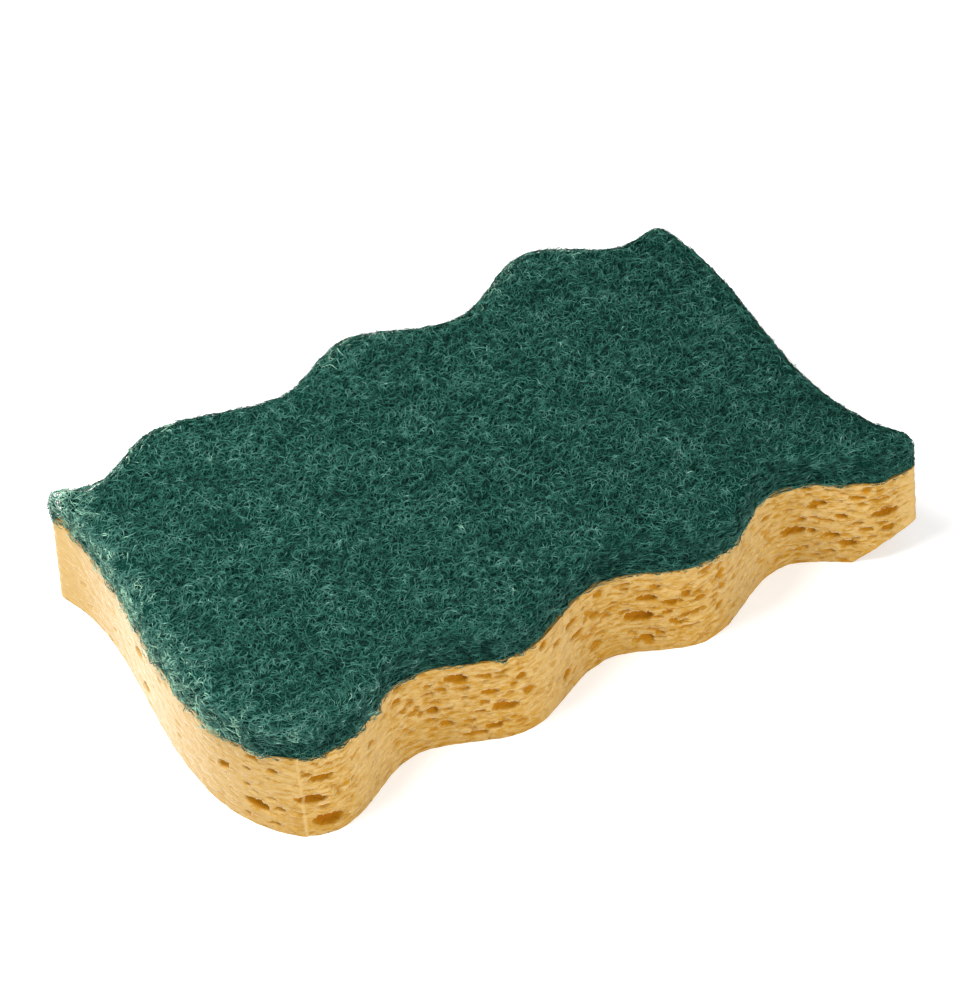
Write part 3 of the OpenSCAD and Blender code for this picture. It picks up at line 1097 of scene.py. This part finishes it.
@dataclass
class ScouringWeb:
    """The pad: a dark felt core with layers of crimped fibres on it.

    A row of loose_edges or thin_bulges holds a place along X, how much the edge stands out or
    the core stays back there, and over how long a stretch. A row of rim_painted_light is a
    running length and what is added to the fibres' shade there as painted light and shade.
    Pairs of numbers are the least and the most of a random draw.
    """

    outline: Outline
    edge: EdgeField
    core_finish: CoreFinish
    fibre_finish: FibreFinish
    base_mm: float = 18.4
    thickness_mm: float = 7.8
    round_mm: float = 3.2
    core_drop: float = 0.6
    core_edge: float = 0.3
    inner_margin: float = 14.4
    fibres: int = 16000
    layers: int = 4
    seed: int = 100
    scatter_half: tuple[float, float] = (78.0, 54.0)
    segments: int = 6
    skin_reach: float = 6.8
    wide: float = 0.125
    length_mm: tuple[float, float] = (1.6, 4.2)
    bend: tuple[float, float] = (0.05, 0.8)
    crimp: tuple[float, float] = (0.1, 0.6)
    crimp_mm: tuple[float, float] = (1.4, 3.0)
    sunk_mm: tuple[float, float] = (-0.85, -0.15)
    arch_mm: tuple[float, float] = (0.15, 0.6)
    bare_reach: float = 6.0
    loose_edges: tuple[tuple[float, float, float], ...] = (
        (-66.0, 0.35, 9.0), (-47.5, 1.2, 6.0), (-36.0, 0.2, 4.0), (-8.0, -0.4, 6.0), (31.0, 1.5, 7.0),
    )
    thin_bulges: tuple[tuple[float, float, float], ...] = (
        (-44.0, 0.5, 9.0), (2.0, 0.5, 10.0), (42.0, 0.7, 11.0),
    )
    rim_painted_light: tuple[tuple[float, float], ...] = (
        (-95, 0.30), (-84, 0.34), (-70, 0.38), (-30, 0.36), (-16, 0.22), (0, 0.03), (8, 0.12), (14, 0.12),
        (22, -0.05), (46, -0.02), (54, 0.1), (62, -0.05), (90, -0.02), (98, 0.14), (106, -0.08), (134, 0.0),
        (150, -0.08), (180, -0.08), (230, 0.0), (300, 0.05), (340, 0.1),
    )

    @property
    def stations(self) -> np.ndarray:
        """Places of the points along a fibre, from -0.5 to 0.5 of its length."""
        return np.linspace(-0.5, 0.5, self.segments + 1)

    def overhang(self, s: np.ndarray) -> np.ndarray:
        """How far the pad's loose edge stands out past the block.

        Args:
            s: Running lengths of the edge.

        Returns:
            Distances in millimetres.
        """
        out = np.zeros(len(s))
        for x, much, wide in self.loose_edges:
            gap = np.mod(s - self.outline.place_on_front(x) + 200, self.outline.total) - 200
            out += much * np.exp(-(gap / wide) ** 2)
        return out + 0.35 * self.left(s) + 0.18 * wave_noise(s[:, None], 7.0, 31) * (1 - 0.7 * self.calm(s))

    def left(self, s: np.ndarray) -> np.ndarray:
        """Where the web's fuzz hangs over the left wall.

        Args:
            s: Running lengths of the edge.

        Returns:
            1 along the left wall, 0 elsewhere.
        """
        return np.interp(s, (-92, -80, -22, -10), (0, 1, 1, 0), period=self.outline.total)

    def calm(self, s: np.ndarray) -> np.ndarray:
        """How clean the cut is: the right and back edges have no loose fuzz.

        Args:
            s: Running lengths of the edge.

        Returns:
            1 along the clean edges, 0 along the fuzzy ones.
        """
        return np.interp(s, (-100, -95, 128, 138, 350), (0.6, 0, 0, 1, 1), period=self.outline.total)

    def recess(self, s: np.ndarray) -> np.ndarray:
        """How much further the core stays back where the web's edge is thin.

        Args:
            s: Running lengths of the edge.

        Returns:
            Distances in millimetres.
        """
        foot = self.outline.at(s)
        out = 1.8 * self.bare(foot)
        for x, much, wide in self.thin_bulges:
            out += np.where(foot[:, 1] > 25, much * np.exp(-((foot[:, 0] - x) / wide) ** 2), 0)
        return out

    def painted_rim_light(self, s: np.ndarray) -> np.ndarray:
        """Painted light and shade along the web's loose edge: lighter along the left, the waves' flanks
        and the back left, where light catches the thin web and shows through it, a little darker in
        the valleys and at the right end.

        Args:
            s: Running lengths of the edge.

        Returns:
            What is added to the fibres' shade.
        """
        return np.interp(s, *np.transpose(self.rim_painted_light), period=self.outline.total)

    def bare(self, xy: np.ndarray) -> np.ndarray:
        """How thin the web is near the tip of the far left ear.

        Args:
            xy: Points in millimetres, one row each.

        Returns:
            1 at the tip, 0 a few millimetres away from it.
        """
        tip = self.outline.xy[self.outline.left_tip]
        return np.exp(-(np.linalg.norm(xy - tip, axis=1) / self.bare_reach) ** 2)

    def surface(self, xy: np.ndarray, lift: np.ndarray) -> tuple[np.ndarray, np.ndarray]:
        """Lays points of an unrolled skin over the pad's top and edge.

        Args:
            xy: Points in millimetres. Past the outline they run down the edge.
            lift: How far each stands off the skin.

        Returns:
            The points and the skin's outward directions.
        """
        inside = self.edge.look_up(xy)
        s = self.edge.nearest(xy)
        foot, out = self.outline.at(s), self.outline.outward(s, 1.0)
        r = self.round_mm
        q = r - inside
        # The skin bends over the rounding first, and what is left of it runs straight down.
        angle = np.clip(q / r, 0, np.pi / 2)
        down = np.maximum(q - r * np.pi / 2, 0)
        limit = self.thickness_mm - r + 0.08 + 0.3 * np.maximum(wave_noise(s[:, None], 3.0, 33), 0)
        limit += 0.4 * self.left(s)
        down = np.minimum(down, limit)
        top = q <= 0
        back = r * (1 - np.sin(angle))
        tuck = 0.12 * np.clip((down - (self.thickness_mm - r) + 1.2) / 1.2, 0, 1) ** 2
        tuck -= 0.3 * np.clip((down - (self.thickness_mm - r)) / 0.3, 0, 1)
        hang = self.overhang(s) * np.clip(q / r, 0, 1) ** 2
        place = foot - (back + tuck - hang)[:, None] * out
        place = np.where(top[:, None], xy, place)
        z = self.base_mm + self.thickness_mm - r * (1 - np.cos(angle)) - down
        normal = np.column_stack([out * np.sin(angle)[:, None], np.cos(angle)])
        return np.column_stack([place, z]) + normal * lift[:, None], normal

    def swells(self, xy: np.ndarray) -> np.ndarray:
        """The web's slow unevenness.

        Args:
            xy: Points in millimetres.

        Returns:
            How far the skin stands up or down there, in millimetres.
        """
        return 0.16 * wave_noise(xy, 11.0, 21) + 0.14 * wave_noise(xy, 4.5, 22) - 0.14

    def build_core(self) -> bpy.types.Object:
        """Makes the felt core.

        Returns:
            The piece, which replaces the CAD node.
        """
        s = np.arange(0, self.outline.total, 0.7)
        foot, out = self.outline.at(s), self.outline.outward(s, 1.0)
        r, t = self.round_mm, self.thickness_mm
        side = self.core_edge + 0.25 * (1 - self.calm(s))
        profile = [(0.5, 0.0), (side, 1.2), (side, t - r)]
        for a in np.radians([22, 45, 68, 90]):
            under = r - self.core_drop + (self.core_drop - side) * math.cos(a)
            profile.append((r - under * math.cos(a), t - r + under * math.sin(a)))
        rings = []
        hang = self.overhang(s) - self.recess(s)
        for draw, z in profile:
            ring = self.draw_in(foot, out, draw - hang)
            rings.append(np.column_stack([ring, np.full(len(s), self.base_mm) + z]))
        n = len(s)
        i = np.arange(n)
        nxt = (i + 1) % n
        quads = np.concatenate([
            np.stack([i + k * n, nxt + k * n, nxt + (k + 1) * n, i + (k + 1) * n], axis=1)
            for k in range(len(rings) - 1)
        ])
        faces = [quads[:, [0, 1, 2]], quads[:, [0, 2, 3]]]
        vertices = [np.concatenate(rings)]
        start = len(vertices[0])
        for ring, flip in ((rings[0], True), (rings[-1], False)):
            grid = self.edge.inner_points(4.0 if flip else 1.6)
            grid = grid[self.edge.look_up(grid) > 4.4]
            points, tris = filled("pad face", ring[:, :2], grid)
            z = np.full(len(points), ring[0, 2])
            if not flip:
                z = z + self.swells(points) * np.clip((self.edge.look_up(points) - 3.5) / 3, 0, 1)
            vertices.append(np.column_stack([points, z]))
            faces.append((tris[:, ::-1] if flip else tris) + start)
            start += len(points)
        piece = new_mesh("web_core", np.concatenate(vertices) * MM, np.concatenate(faces))
        piece.data.materials.append(self.core_finish.material())
        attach(piece, "root")
        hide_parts("scouring_pad")
        return piece

    def draw_in(self, foot: np.ndarray, out: np.ndarray, d: np.ndarray) -> np.ndarray:
        """Moves the outline's points inwards, towards an inner rectangle.

        Args:
            foot: Points of the outline.
            out: Their outward directions.
            d: How far, in millimetres.

        Returns:
            The moved points.
        """
        half = np.array([self.outline.length, self.outline.width]) / 2 - self.inner_margin
        way = np.clip(foot, -half, half) - foot
        way /= np.linalg.norm(way, axis=1, keepdims=True)
        slant = np.maximum(-(way * out).sum(axis=1), 0.45)
        return foot + way * (d / slant)[:, None]

    def starts(self, rng: np.random.Generator) -> np.ndarray:
        """Scatters the middles of one layer's fibres over the unrolled skin.

        Args:
            rng: The layer's random draws.

        Returns:
            Points in millimetres, one row for each fibre.
        """
        count = self.fibres
        start = np.empty((0, 2))
        while len(start) < count:
            guess = np.column_stack([rng.uniform(-half, half, 3 * count) for half in self.scatter_half])
            keep = self.edge.look_up(guess) > -self.skin_reach
            keep &= rng.random(len(guess)) > 0.55 * self.bare(guess)
            start = np.concatenate([start, guess[keep]])
        return start[:count]

    def paths(self, rng: np.random.Generator, start: np.ndarray) -> tuple[np.ndarray, np.ndarray]:
        """Draws each fibre's curled way over the unrolled skin.

        Args:
            rng: The layer's random draws.
            start: Middles of the fibres.

        Returns:
            The points of all the fibres, and each point's share of a crimp's swing.
        """
        count, steps = self.fibres, self.segments
        length = rng.uniform(*self.length_mm, count)
        heading = rng.uniform(0, 2 * np.pi, count)
        calm = self.calm(self.edge.nearest(start))
        bound = self.edge.look_up(start) < 0.6 + 1.2 * calm
        way = self.outline.outward(self.edge.nearest(start), 1.0)
        level = np.arctan2(way[:, 1], way[:, 0]) + np.pi / 2 + rng.normal(0, 0.45, count)
        heading = np.where(bound, level, heading)
        bend = rng.choice([-1.0, 1.0], count) * rng.uniform(*self.bend, count)
        crimp = rng.uniform(*self.crimp, count)
        pitch = rng.uniform(*self.crimp_mm, count)
        phase = rng.uniform(0, 2 * np.pi, count)
        along = self.stations[None, :] * length[:, None]
        angle = (heading[:, None] + bend[:, None] * along
                 + crimp[:, None] * np.sin(2 * np.pi * along / pitch[:, None] + phase[:, None]))
        step = length[:, None] / steps
        x = start[:, :1] + np.cumsum(np.cos(angle) * step, axis=1)
        y = start[:, 1:] + np.cumsum(np.sin(angle) * step, axis=1)
        return np.stack([x, y], axis=-1).reshape(-1, 2), np.sin(2 * np.pi * along / pitch[:, None])

    def lifts(self, rng: np.random.Generator, start: np.ndarray, xy: np.ndarray, swing_share: np.ndarray,
              share: float) -> np.ndarray:
        """How far each point of the fibres stands off the skin.

        Args:
            rng: The layer's random draws.
            start: Middles of the fibres.
            xy: Points of the fibres.
            swing_share: Each point's share of a crimp's swing.
            share: 0 for the lowest layer, 1 for the top one.

        Returns:
            Distances in millimetres.
        """
        count, points = self.fibres, self.segments + 1
        t = self.stations[None, :]
        height = rng.uniform(*self.sunk_mm, count) + 0.5 * share
        arch = rng.uniform(*self.arch_mm, count)
        lift = (height[:, None] + arch[:, None] * (np.cos(np.pi * 1.5 * t) - 0.6)
                + 0.1 * swing_share).reshape(-1)
        calm = self.calm(self.edge.nearest(start))
        rim = np.clip(1 - self.edge.look_up(start) / 2.5, 0, 1)
        stray = rng.random(count) < 0.006 + 0.012 * share + 0.03 * rim * (1 - 2 * calm)
        rise = np.tile(np.abs(t[0]) * 2, count) * np.repeat(stray * rng.uniform(0.2, 1.2, count), points)
        held = np.repeat(calm * np.clip(1.6 - self.edge.look_up(start) / 2.0, 0, 1), points)
        rounded = np.clip(1.3 - self.edge.look_up(xy) / self.round_mm, 0, 1)
        lift = np.where(lift < 0, lift * (1 - 0.5 * rounded), lift)
        return (lift + rise) * (1 - 0.4 * held) - 0.08 * held + self.swells(xy) * (1 - 0.8 * held)

    def ribbons(self, rng: np.random.Generator, xy: np.ndarray, lift: np.ndarray,
                share: float) -> tuple[np.ndarray, np.ndarray]:
        """Gives the fibres their width.

        Args:
            rng: The layer's random draws.
            xy: Points of the fibres on the unrolled skin.
            lift: How far each stands off it.
            share: 0 for the lowest layer, 1 for the top one.

        Returns:
            The vertices in millimetres and the faces.
        """
        count, points = self.fibres, self.segments + 1
        centre, normal = self.surface(xy, lift)
        centre = centre.reshape(count, points, 3)
        normal = normal.reshape(count, points, 3)
        run = np.gradient(centre, axis=1)
        run /= np.linalg.norm(run, axis=2, keepdims=True) + 1e-9
        roll = rng.uniform(-0.9, 0.9, count)[:, None, None]
        side = np.cross(run, normal)
        side /= np.linalg.norm(side, axis=2, keepdims=True) + 1e-9
        across = side * np.cos(roll) + normal * np.sin(roll)
        taper = np.minimum(1, 0.35 + 2.6 * (0.5 - np.abs(self.stations[None, :])))[..., None]
        wide = self.wide * (1.6 - 0.6 * share)
        half = (0.5 * wide * rng.uniform(0.65, 1.3, count))[:, None, None] * taper
        vertices = np.stack([centre + across * half, centre - across * half], axis=2).reshape(-1, 3)
        vertices[:, 2] = np.maximum(vertices[:, 2], self.base_mm - 0.9)
        first = (np.arange(count)[:, None] * points + np.arange(self.segments)[None, :]).ravel() * 2
        return vertices, np.stack([first, first + 1, first + 3, first + 2], axis=1)

    def shades(self, rng: np.random.Generator, start: np.ndarray, lift: np.ndarray,
               share: float) -> np.ndarray:
        """How light the fibres are, mostly painted light and shade: painted shade darkens the low layers
        and sunk points, and painted light lightens the fuzzy edges, the thin web and a few glints.

        Args:
            rng: The layer's random draws.
            start: Middles of the fibres.
            lift: How far each point stands off the skin.
            share: 0 for the lowest layer, 1 for the top one.

        Returns:
            One number for each vertex.
        """
        count = self.fibres
        inside, foot = self.edge.look_up(start), self.edge.nearest(start)
        # Painted shade: the lower layers are darker, with a random spread of dye.
        shade = np.clip(0.35 + 0.10 * share + rng.normal(0, 0.05, count), 0.04, 0.8)
        bright = rng.random(count) < 0.05 + 0.06 * share
        shade = np.where(bright, shade + 0.07, shade)
        rim = np.clip(1.25 - inside / 4.0, 0, 1)
        # Painted light and shade along the loose edge.
        shade += rim * self.painted_rim_light(foot) * rng.uniform(0.75, 1.15, count)
        # Painted light: fibres lighter near the far left ear's tip, where light shows through the thin web.
        shade += 0.4 * self.bare(start) * rng.uniform(0.2, 1.4, count)
        # Painted glints: a few light fibres near the edge of the thin bulges, where light shows through the
        # web.
        painted_glint = rng.random(count) < 0.7 * np.clip(self.recess(foot), 0, 1) * (inside > 0.6)
        shade += painted_glint * np.clip(1.6 - inside / 3.0, 0, 1) * 0.65
        # Painted light on the side of the left edge, lighter than the lamps leave it.
        shade += 0.16 * self.left(foot) * np.clip(-inside / 2.0, 0, 1)
        # Painted shade: points that sink into the web are darker.
        return np.repeat(shade, (self.segments + 1) * 2) + 0.22 * np.clip(np.repeat(lift, 2), -0.9, 0.4)

    def build_fibres(self, layer: int, material: bpy.types.Material) -> bpy.types.Object:
        """Makes one layer of fibres as thin ribbons that lie on the skin.

        Args:
            layer: Number of the layer, from the lowest.
            material: The fibres' material.

        Returns:
            The piece.
        """
        rng = np.random.default_rng(self.seed + layer)
        share = layer / max(1, self.layers - 1)
        start = self.starts(rng)
        xy, swing_share = self.paths(rng, start)
        lift = self.lifts(rng, start, xy, swing_share, share)
        vertices, faces = self.ribbons(rng, xy, lift, share)
        piece = new_mesh(f"web_fibres_{layer + 1}", vertices * MM, faces)
        point_values(piece, Layer.SHADE, self.shades(rng, start, lift, share))
        piece.data.materials.append(material)
        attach(piece, "root")
        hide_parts("scouring_pad")
        return piece

    def build(self) -> list[bpy.types.Object]:
        """Makes the whole pad.

        Returns:
            The core and the layers of fibres.
        """
        material = self.fibre_finish.material()
        return [self.build_core()] + [self.build_fibres(k, material) for k in range(self.layers)]


# The studio


@dataclass(frozen=True)
class PhotoCamera:
    """The photograph's viewpoint."""

    place_mm: tuple[float, float, float] = (-326.64, -562.92, 558.07)
    azimuth: float = -30.474
    elevation: float = 39.673
    roll: float = -5.937
    lens: float = 168.64
    sensor: float = 36.0

    def build(self) -> bpy.types.Object:
        """Makes the camera and sets it as the scene's.

        Returns:
            The camera.
        """
        a, e, roll = (math.radians(v) for v in (self.azimuth, self.elevation, self.roll))
        back = Vector((math.sin(a) * math.cos(e), -math.cos(a) * math.cos(e), math.sin(e)))
        right = (-back).cross(Vector((0, 0, 1))).normalized()
        up = right.cross(-back)
        right2 = math.cos(roll) * right + math.sin(roll) * up
        up2 = math.cos(roll) * up - math.sin(roll) * right
        data = bpy.data.cameras.new("photo_camera")
        data.lens = self.lens
        data.sensor_width = self.sensor
        data.clip_start, data.clip_end = 0.01, 20.0
        camera = bpy.data.objects.new("photo_camera", data)
        turn = Matrix((right2, up2, back)).transposed().to_4x4()
        camera.matrix_world = Matrix.Translation(Vector(self.place_mm) * MM) @ turn
        bpy.context.scene.collection.objects.link(camera)
        bpy.context.scene.camera = camera
        return camera


@dataclass(frozen=True)
class SoftLight:
    """A large soft lamp that faces the object."""

    name: str
    place: tuple[float, float, float]
    size: float
    power: float
    tint: RGB = (1.0, 1.0, 1.0)

    def build(self) -> bpy.types.Object:
        """Makes the lamp.

        Returns:
            The lamp.
        """
        data = bpy.data.lights.new(self.name, "AREA")
        data.shape = "DISK"
        data.size = self.size
        data.energy = self.power
        data.color = self.tint
        lamp = bpy.data.objects.new(self.name, data)
        lamp.location = self.place
        lamp.visible_camera = False
        aim = Vector((0, 0, 0.01)) - Vector(self.place)
        lamp.rotation_euler = aim.to_track_quat("-Z", "Y").to_euler()
        bpy.context.scene.collection.objects.link(lamp)
        return lamp


@dataclass
class Studio:
    """The floor, the lamps and the white surroundings."""

    finish: FloorFinish
    lights: tuple[SoftLight, ...] = (
        SoftLight("key_left", (-0.15, 0.05, 0.30), 0.25, 2.15, (1.0, 0.99, 0.97)),
        SoftLight("fill_front", (0.04, -0.95, 0.22), 0.8, 10.9, (1.0, 0.99, 0.98)),
    )
    surround: float = 0.4
    floor_half: float = 3.0

    def build(self) -> bpy.types.Object:
        """Makes everything round the object.

        Returns:
            The floor.
        """
        corners = self.floor_half * np.array([[-1, -1, 0], [1, -1, 0], [1, 1, 0], [-1, 1, 0]])
        floor = new_mesh("studio_floor", corners, np.array([[0, 1, 2, 3]]), smooth=False)
        floor.data.materials.append(self.finish.material())
        for light in self.lights:
            light.build()
        world = bpy.data.worlds.new("studio_white")
        bpy.context.scene.world = world
        n = Nodes(world)
        soft = n.add("Background", {"Color": WHITE, "Strength": self.surround}).outputs[0]
        white = n.add("Background", {"Color": WHITE}).outputs[0]
        seen = n.add("LightPath").outputs["Is Camera Ray"]
        n.add("OutputWorld", {"Surface": n.add("MixShader", {0: seen, 1: soft, 2: white}).outputs[0]})
        return floor


def main() -> None:
    """Builds the scene in order and reports each piece."""
    logging.basicConfig(level=logging.INFO, format="%(message)s")
    bpy.context.scene.view_settings.view_transform = "Standard"
    PhotoCamera().build()
    Studio(FloorFinish()).build()
    outline = Outline()
    edge = EdgeField(outline)
    pieces = [SpongeBlock(outline, edge, CelluloseFinish()).build()]
    pieces += ScouringWeb(outline, edge, CoreFinish(), FibreFinish()).build()
    for piece in pieces:
        triangles = sum(len(p.vertices) - 2 for p in piece.data.polygons)
        LOG.info("%s: %d triangles", piece.name, triangles)


if __name__ == "__main__":
    main()
